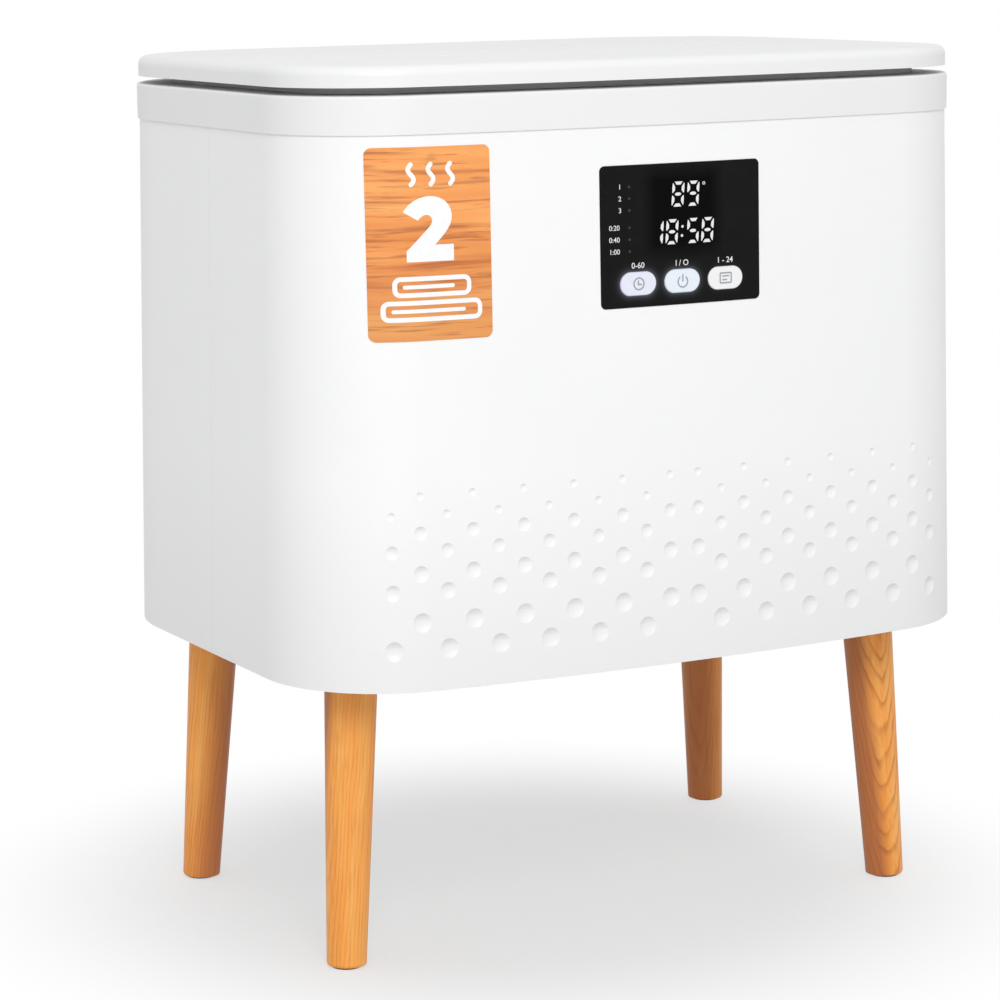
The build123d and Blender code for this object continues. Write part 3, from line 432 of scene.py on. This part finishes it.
def circuit(name, mask, copper):
    """Circuit board: solder mask over tracks, told apart by a cellular pattern."""
    shader = Shader(name)
    spot = shader.place()
    cells = shader.node("ShaderNodeTexVoronoi", {"Vector": spot, "Scale": 190.0},
                        distance="MANHATTAN").outputs["Distance"]
    tracks = shader.span(cells, 1.0, 0.0, 0.30, 0.36)
    fine = shader.noise(spot, 600, 2.0)
    shader.relief(tracks, 0.2, 0.00005)
    return shader.use(Base_Color=shader.mix(tracks, srgb(mask), srgb(copper)),
                      Roughness=shader.span(fine, 0.3, 0.45))


# --- Outlines in millimetres ---

def ring(cx, cz, radius, start=0.0, end=360.0, count=40):
    """Points on a circle or an arc, in degrees from the right, anticlockwise."""
    full = abs(end - start) >= 360
    steps = count if full else count + 1
    return [(cx + radius * math.cos(math.radians(start + (end - start) * i / count)),
             cz + radius * math.sin(math.radians(start + (end - start) * i / count))) for i in range(steps)]


def arc_stroke(cx, cz, radius, width, start, end):
    """Closed outline of an arc drawn with a pen of the given width."""
    outer = ring(cx, cz, radius + width / 2, start, end, 36)
    inner = ring(cx, cz, radius - width / 2, start, end, 36)
    return outer + inner[::-1]


def bar(x0, z0, x1, z1, radius=0.0):
    """Rectangle, with round corners if a radius is given."""
    if not radius:
        return [(x0, z0), (x1, z0), (x1, z1), (x0, z1)]
    points = []
    for cx, cz, start in ((x1 - radius, z0 + radius, -90), (x1 - radius, z1 - radius, 0),
                          (x0 + radius, z1 - radius, 90), (x0 + radius, z0 + radius, 180)):
        points += ring(cx, cz, radius, start, start + 90, 6)
    return points


def frame_of(x0, z0, x1, z1, radius, width):
    """Round-cornered frame of the given line width: an outer and an inner outline."""
    return [bar(x0, z0, x1, z1, radius),
            bar(x0 + width, z0 + width, x1 - width, z1 - width, max(radius - width, 0.05))]


def pen(points, width, blunt=True):
    """Closed outline of a line drawn along the points, with blunt or round ends."""
    left, right = [], []
    for i, (x, z) in enumerate(points):
        x0, z0 = points[max(i - 1, 0)]
        x1, z1 = points[min(i + 1, len(points) - 1)]
        length = math.hypot(x1 - x0, z1 - z0)
        nx, nz = -(z1 - z0) / length * width / 2, (x1 - x0) / length * width / 2
        left.append((x + nx, z + nz))
        right.append((x - nx, z - nz))
    if blunt:
        return left + right[::-1]
    caps = []
    for (x0, z0), (x1, z1) in ((points[-2], points[-1]), (points[1], points[0])):
        turn = math.degrees(math.atan2(z1 - z0, x1 - x0))
        caps.append(ring(x1, z1, width / 2, turn + 90, turn - 90, 8)[1:-1])
    return left + caps[0] + right[::-1] + caps[1]


def eased(points, corners):
    """Closed outline with its points cut to curves in two passes, apart from the numbered corners."""
    line = [(point, index in corners) for index, point in enumerate(points)]
    for _ in range(2):
        finer = []
        for index, ((x, z), sharp) in enumerate(line):
            if sharp:
                finer.append(((x, z), True))
                continue
            for near in (line[index - 1][0], line[(index + 1) % len(line)][0]):
                finer.append(((0.75 * x + 0.25 * near[0], 0.75 * z + 0.25 * near[1]), False))
        line = finer
    return [point for point, _ in line]


def moved(loops, dx, dz, slant=0.0):
    """Outlines shifted, and leant to the right by a share of their height."""
    return [[(x + dx + slant * z, z + dz) for x, z in loop] for loop in loops]


def segments(letters):
    """Seven-segment figure, a to g, with lens-shaped sides and wedge-shaped top and foot."""
    w, h, m = DIGIT_WIDTH, DIGIT_HEIGHT, DIGIT_HEIGHT / 2
    top = [(w / 2 - 2.65, h), (w / 2 + 2.65, h), (w / 2 + 1.3, h - 1.8), (w / 2 - 1.3, h - 1.8)]
    foot = [(x, h - z) for x, z in top]
    waist = [(w / 2 + 2.2 * (x - w / 2), z) for x, z in ring(w / 2, m, 0.95, count=20)]
    upper = [(0.15, h - 0.8), (0.5, h - 0.9), (1.75, h - 3.0), (1.8, m + 2.2), (0.6, m + 0.75),
             (0.1, m + 0.8), (-0.05, m + 3.6)]
    shapes = {"a": top, "d": foot, "f": upper, "g": waist}
    shapes["b"] = [(w - x, z) for x, z in upper]
    shapes["c"] = [(w - x, h - z) for x, z in upper]
    shapes["e"] = [(x, h - z) for x, z in upper]
    return [shapes[letter] for letter in letters]


FIGURES = {"1": "bc", "5": "afgcd", "8": "abcdefg", "9": "abfgcd"}


# --- Thin printed and lit plates that follow the surface they lie on ---

# Search trees of the surfaces in use, by node
surfaces = {}


def add(name, data):
    """New object in the scene."""
    made = bpy.data.objects.new(name, data)
    bpy.context.scene.collection.objects.link(made)
    return made


def face_y(node, x, z):
    """Y of a node's front surface at x and z, in metres."""
    if node not in surfaces:
        bm = bmesh.new()
        bm.from_mesh(nodes[node].data)
        surfaces[node] = BVHTree.FromBMesh(bm)
        bm.free()
    hit = surfaces[node].ray_cast(Vector((x, -1, z)), Vector((0, 1, 0)))[0]
    if hit is None:
        raise ValueError(f"{node} has no surface at {x:.4f}, {z:.4f}")
    return hit.y


def outline_curve(name, loops):
    """Flat filled curve of closed outlines."""
    curve = bpy.data.curves.new(name, "CURVE")
    curve.dimensions = "2D"
    curve.fill_mode = "BOTH"
    for loop in loops:
        spline = curve.splines.new("POLY")
        spline.points.add(len(loop) - 1)
        for point, (x, z) in zip(spline.points, loop):
            point.co = (x, z, 0, 1)
        spline.use_cyclic_u = True
    return curve


def text_curve(name, words, x, z, size, bold):
    """Text as a curve, and the place for its middle."""
    curve = bpy.data.curves.new(name, "FONT")
    curve.body, curve.size, curve.offset = words, size, bold
    curve.align_x, curve.align_y = "CENTER", "CENTER"
    curve.fill_mode = "BOTH"
    return curve, (x, z)


def to_mesh(curve, shift=(0, 0)):
    """Mesh of a curve or text, in millimetres."""
    curve.extrude = PRINT_THICK / 2
    holder = add(curve.name, curve)
    bpy.context.view_layer.update()
    graph = bpy.context.evaluated_depsgraph_get()
    mesh = bpy.data.meshes.new_from_object(holder.evaluated_get(graph))
    bpy.data.objects.remove(holder)
    for vertex in mesh.vertices:
        vertex.co.x += shift[0]
        vertex.co.y += shift[1]
    return mesh


def cut_strips(bm, width):
    """Cut a flat plate into upright strips, so that it can follow a curved surface."""
    left, right = min(v.co.x for v in bm.verts), max(v.co.x for v in bm.verts)
    cut = math.ceil(left / width) * width
    while cut < right:
        bmesh.ops.bisect_plane(bm, geom=bm.verts[:] + bm.edges[:] + bm.faces[:], dist=1e-5,
                               plane_co=(cut, 0, 0), plane_no=(1, 0, 0))
        cut += width


def printed(name, material, node, body, loops, texts=(), strip=STRIP):
    """One piece from filled outlines and texts, laid on the front surface of a node."""
    sources = [to_mesh(outline_curve(name, loops))]
    for words, x, z, size, bold in texts:
        sources.append(to_mesh(*text_curve(name, words, x, z, size, bold)))
    bm = bmesh.new()
    for mesh in sources:
        bm.from_mesh(mesh)
        bpy.data.meshes.remove(mesh)
    bmesh.ops.remove_doubles(bm, verts=bm.verts, dist=1e-4)
    cut_strips(bm, strip)
    bmesh.ops.triangulate(bm, faces=bm.faces)
    for vertex in bm.verts:
        x, z, depth = vertex.co
        x, z = x * MM, z * MM
        vertex.co = (x, face_y(node, x, z) - (PRINT_LIFT + PRINT_THICK / 2 + depth) * MM, z)
    bmesh.ops.recalc_face_normals(bm, faces=bm.faces)
    mesh = bpy.data.meshes.new(name)
    bm.to_mesh(mesh)
    bm.free()
    mesh.materials.append(material)
    piece = add(name, mesh)
    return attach(piece, body)


def dress(material, *names):
    """Give CAD nodes their finish."""
    for name in names:
        slots = nodes[name].data.materials
        slots.clear()
        slots.append(material)


# --- Finishes of the CAD nodes ---

def dress_body():
    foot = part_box("front_shell")[0].z
    dress(shell_white("white_shell", foot, foot + SHADE_REACH), "front_shell", "rear_shell")
    dress(lid_white("white_lid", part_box("lid_cover")[1].z, LID_DIMPLE_REACH), "top_rim", "lid_cover")
    inner_white = moulded("white_inner", "e6e6e4", "dfdfdd", (0.5, 0.6), 700)
    dress(inner_white, "base_plate", "lid_insulation", "light_guide")
    hinge_white = moulded("white_hinge", "e8e8e6", "e0e0de", (0.42, 0.52), 800)
    dress(hinge_white, "hinge_bracket_left", "hinge_bracket_right", "hinge_block_left", "hinge_block_right")
    dress(moulded("grey_liner", "d8d8d8", "d0d0d0", (0.5, 0.6), 700), "lid_liner", "lid_plug")
    dress(moulded("grey_gasket", "d2d2d2", "cacaca", (0.7, 0.8), 500), "lid_gasket")
    dress(moulded("black_rubber", "262524", "1c1b1b", (0.75, 0.85), 500), "leg_pads", "cord_gland")
    dress(moulded("black_plastic", "232323", "1b1b1b", (0.45, 0.55), 700),
          "gland_nut", "buzzer", "relay", "tact_switches")


def dress_inside():
    dress(metal("tub_metal", "c9cbcd", "b7b9bb", (0.28, 0.42), (1, 1, 0.04), 260), "inner_tub")
    dress(metal("zinc_plate", "b9bab8", "9fa09e", (0.35, 0.5), (1, 1, 1), 160),
          "leg_brackets", "leg_washers", "thermostat")
    dress(metal("zinc_screws", "c4c4c2", "a3a3a1", (0.25, 0.4), (1, 1, 1), 500),
          "rim_screws", "tub_screws", "base_screws", "board_screws", "power_board_screws", "lid_screws",
          "hinge_foot_screws", "hinge_block_screws", "leg_bolts", "hinge_pins", "temperature_sensor")
    dress(moulded("amber_film", "c98a3c", "b8742a", (0.25, 0.35), 300, 60), "heating_film", "floor_heater")
    dress(felt("grey_felt", "d6d6d2", "a9a9a4"), "insulation_wrap")
    dress(circuit("green_board", "17492c", "2d6b3f"), "control_board", "power_board")
    dress(moulded("yellow_tape", "d7b84a", "b8952e", (0.4, 0.5), 400, 80), "transformer")
    dress(moulded("capacitor_sleeve", "2b3038", "1d2128", (0.3, 0.4), 400, 80), "capacitor")
    dress(moulded("green_terminals", "3d8a57", "2f7247", (0.45, 0.55), 400, 60), "terminal_block")
    dress(moulded("ceramic", "ded8ca", "cdc6b6", (0.6, 0.7), 500), "thermal_fuse")
    dress(moulded("display_black", "141414", "0c0c0c", (0.3, 0.4), 400), "display_module")
    dress(lit("lamp_clear", "f2f4ff", "dfe3ee", 0.05), "indicator_leds")


def end_middle(name, z):
    """Middle of a leg's points near one of its ends."""
    points = [v.co for v in nodes[name].data.vertices if abs(v.co.z - z) < END_SLICE]
    return sum(points, Vector()) / len(points)


def dress_legs():
    for name, grain in LEG_GRAIN.items():
        low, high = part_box(name)
        dress(timber(f"{name}_wood", end_middle(name, low.z), end_middle(name, high.z), *grain), name)


# --- The control panel, its buttons and their marks ---

def button_box(name):
    """Middle and size of a button's visible face, in X and Z."""
    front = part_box(name)[0].y
    faces = [v.co for v in nodes[name].data.vertices if v.co.y < front + FACE_DEPTH]
    x0, x1 = min(p.x for p in faces), max(p.x for p in faces)
    z0, z1 = min(p.z for p in faces), max(p.z for p in faces)
    return ((x0 + x1) / 2, (z0 + z1) / 2), x1 - x0 + FACE_MARGIN, z1 - z0 + FACE_MARGIN


def icon_loops(kind):
    """Outlines of a button's mark about its own middle: a clock, a power ring or a list."""
    if kind == "clock":
        face = [ring(0, 0, 3.75), ring(0, 0, 3.75 - ICON_STROKE)]
        hands = [(-0.4, 2.0), (-0.4, -0.85)], [(0.03, -0.42), (2.0, -0.42)]
        return face + [pen(hand, ICON_STROKE) for hand in hands]
    if kind == "power":
        return [arc_stroke(0, -0.4, 3.2, ICON_STROKE, -235, 55), pen([(0, 3.8), (0, -0.4)], ICON_STROKE)]
    lines = [bar(-2.4, 0.7, 2.4, 1.5), bar(-2.4, -1.5, 1.0, -0.7)]
    return frame_of(-4.2, -3.3, 4.2, 3.3, 1.0, ICON_STROKE) + lines


def dress_buttons():
    """Finish and mark the buttons; middle, width, height and halo of each, from left to right."""
    icon_grey = moulded("icon_print", "a2a3aa", "9a9ba2", (0.5, 0.6), 900, 300)
    halos = []
    for name, body, kind, colour, plastic, glow, halo in BUTTONS:
        centre, width, height = button_box(name)
        halos.append((centre, width, height, halo))
        dress(lit(f"{name}_glow", colour, plastic, glow), name)
        loops = moved(icon_loops(kind), centre[0] / MM, centre[1] / MM)
        printed(f"{name}_mark", icon_grey, name, body, loops, strip=ICON_STRIP)
    return halos


def print_digits(top):
    """Temperature, clock and colon on the display."""
    loops = []
    for row_top, places, figures in ((TEMPERATURE_TOP, TEMPERATURE_X, "89"), (CLOCK_TOP, CLOCK_X, "1858")):
        for x, figure in zip(places, figures):
            loops += moved(segments(FIGURES[figure]), x, top - row_top - DIGIT_HEIGHT, DIGIT_SLANT)
    for drop in COLON_DROPS:
        loops.append(ring(COLON_X + COLON_LEAN * (COLON_DROPS[1] - drop), top - drop, LAMP_RADIUS, count=16))
    digit_glow = lit("digit_glow", "f4f4f0", "9a9a9a", 0.55)
    printed("display_digits", digit_glow, "control_panel", "cabinet", loops)


def print_scales(top, halos):
    """Degree ring, figures beside the lamps and over the buttons, and the lamps' windows."""
    degree = [ring(DEGREE[0], top - DEGREE[1], radius, count=20) for radius in DEGREE_RADII]
    scales = ((LEVEL_X, ("1", "2", "3"), LEVEL_DROPS), (MINUTE_X, ("0:20", "0:40", "1:00"), MINUTE_DROPS))
    marks = []
    for x, figures, drops in scales:
        marks += [(words, x, top - drop, MARK_SIZE, MARK_BOLD) for words, drop in zip(figures, drops)]
    for (centre, *_), words in zip(halos, ("0-60", "I / O", "1 - 24")):
        marks.append((words, centre[0] / MM, top - WORD_DROP, WORD_SIZE, WORD_BOLD))
    print_white = moulded("panel_print", "e9e9e9", "dcdcdc", (0.5, 0.6), 900, 300)
    printed("panel_marks", print_white, "control_panel", "cabinet", degree, marks)
    lamps = [ring(LAMP_X, top - drop, LAMP_RADIUS, count=18) for drop in LEVEL_DROPS + MINUTE_DROPS]
    lamp_dark = moulded("lamp_windows", "262626", "202020", (0.4, 0.5), 900, 300)
    printed("lamp_windows", lamp_dark, "control_panel", "cabinet", lamps)


def dress_panel():
    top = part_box("control_panel")[1].z / MM
    halos = dress_buttons()
    print_digits(top)
    print_scales(top, halos)
    left, right, upper, lower = WINDOW
    window = ((left * MM, (top - lower) * MM), (right * MM, (top - upper) * MM))
    dress(panel_black(halos, window), "control_panel")


# --- The label and its marks ---

def dress_label():
    low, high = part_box("front_label")
    dress(label_wood(low.z, high.z), "front_label")
    cx, cz = (low.x + high.x) / 2 / MM, (low.z + high.z) / 2 / MM
    print_white = moulded("label_white", "fbfbfb", "f6f6f6", (0.4, 0.5), 900, 200)
    loops = [eased(NUMERAL, NUMERAL_CORNERS)]
    rise = (WAVE_SPAN[1] - WAVE_SPAN[0]) / WAVE_STEPS
    swing = [WAVE_SWING * math.sin(2 * math.pi * step / WAVE_STEPS) for step in range(WAVE_STEPS + 1)]
    for side in (-1, 0, 1):
        line = [(side * WAVE_PITCH + x, WAVE_SPAN[0] + step * rise) for step, x in enumerate(swing)]
        loops.append(pen(line, LABEL_STROKE, blunt=False))
    for width, z0, z1 in TOWELS:
        middle = (z0 + z1) / 2
        loops += frame_of(-width / 2, z0, width / 2, z1, TOWEL_CORNER, LABEL_STROKE)
        loops.append(bar(FOLD_INSETS[0] - width / 2, middle - FOLD_HALF,
                         width / 2 - FOLD_INSETS[1], middle + FOLD_HALF, FOLD_CORNER))
    printed("label_marks", print_white, "front_label", "cabinet", moved(loops, cx, cz))


# --- Camera, light, floor and background ---

def set_key():
    lamp = bpy.data.lights.new("key", "AREA")
    lamp.shape, lamp.size, lamp.energy = "DISK", KEY_SIZE, KEY_POWER
    holder = add("key", lamp)
    holder.location = KEY_PLACE
    holder.rotation_euler = (Vector(KEY_TARGET) - Vector(KEY_PLACE)).to_track_quat("-Z", "Y").to_euler()


def set_camera():
    camera = bpy.data.cameras.new("camera")
    camera.lens, camera.sensor_width, camera.shift_x = LENS, SENSOR, CAMERA_SHIFT
    holder = add("camera", camera)
    aim = Euler((math.pi / 2 - CAMERA_DIP, 0, CAMERA_YAW)).to_matrix() @ Matrix.Rotation(CAMERA_ROLL, 3, "Z")
    holder.location, holder.rotation_euler = CAMERA_PLACE, aim.to_euler()
    bpy.context.scene.camera = holder


def seen_directly(tree):
    """1 for camera, glossy and transmission rays."""
    path = tree.nodes.new("ShaderNodeLightPath")
    value = path.outputs["Is Camera Ray"]
    for other in ("Is Glossy Ray", "Is Transmission Ray"):
        either = tree.nodes.new("ShaderNodeMath")
        either.operation = "MAXIMUM"
        tree.links.new(value, either.inputs[0])
        tree.links.new(path.outputs[other], either.inputs[1])
        value = either.outputs[0]
    return value


def set_world():
    world = bpy.data.worlds.new("studio")
    bpy.context.scene.world = world
    world.use_nodes = True
    tree = world.node_tree
    ambient = tree.nodes["Background"]
    ambient.inputs["Color"].default_value = AMBIENT_COLOUR
    ambient.inputs["Strength"].default_value = AMBIENT
    white = tree.nodes.new("ShaderNodeBackground")
    mix = tree.nodes.new("ShaderNodeMixShader")
    white.inputs["Color"].default_value = (1, 1, 1, 1)
    tree.links.new(seen_directly(tree), mix.inputs["Fac"])
    tree.links.new(ambient.outputs[0], mix.inputs[1])
    tree.links.new(white.outputs[0], mix.inputs[2])
    tree.links.new(mix.outputs[0], tree.nodes["World Output"].inputs["Surface"])


def set_floor():
    mesh = bpy.data.meshes.new("floor")
    corners = [(x * FLOOR_REACH, y * FLOOR_REACH, 0) for x, y in ((-1, -1), (1, -1), (1, 1), (-1, 1))]
    mesh.from_pydata(corners, [], [(0, 1, 2, 3)])
    shader = Shader("floor", Roughness=0.75, Specular_IOR_Level=0.2)
    spot = shader.place()
    speck = shader.noise(spot, 300, 2.0)
    shader.use(Base_Color=shader.two_tone(speck, "d3d3d3", "d7d7d7"))
    distance = shader.node("ShaderNodeVectorMath", {0: spot, 1: FLOOR_MIDDLE},
                           operation="DISTANCE").outputs["Value"]
    limits = {"Value": distance, "From Min": FLOOR_FADE[0], "From Max": FLOOR_FADE[1], "To Min": FLOOR_LEAST}
    fade = shader.node("ShaderNodeMapRange", limits, interpolation_type="SMOOTHSTEP").outputs[0]
    white = shader.node("ShaderNodeEmission", {"Color": (1, 1, 1, 1), "Strength": 1.0}).outputs[0]
    share = shader.math("MULTIPLY", fade, seen_directly(shader.tree))
    mix = shader.node("ShaderNodeMixShader", {0: share, 1: shader.surface.outputs[0], 2: white}).outputs[0]
    shader.tree.links.new(mix, shader.tree.nodes["Material Output"].inputs["Surface"])
    mesh.materials.append(shader.material)
    add("floor", mesh)


set_camera()
set_world()
set_floor()
set_key()
dress_body()
dress_inside()
dress_legs()
dress_panel()
dress_label()
bpy.context.scene.view_settings.view_transform = "Standard"
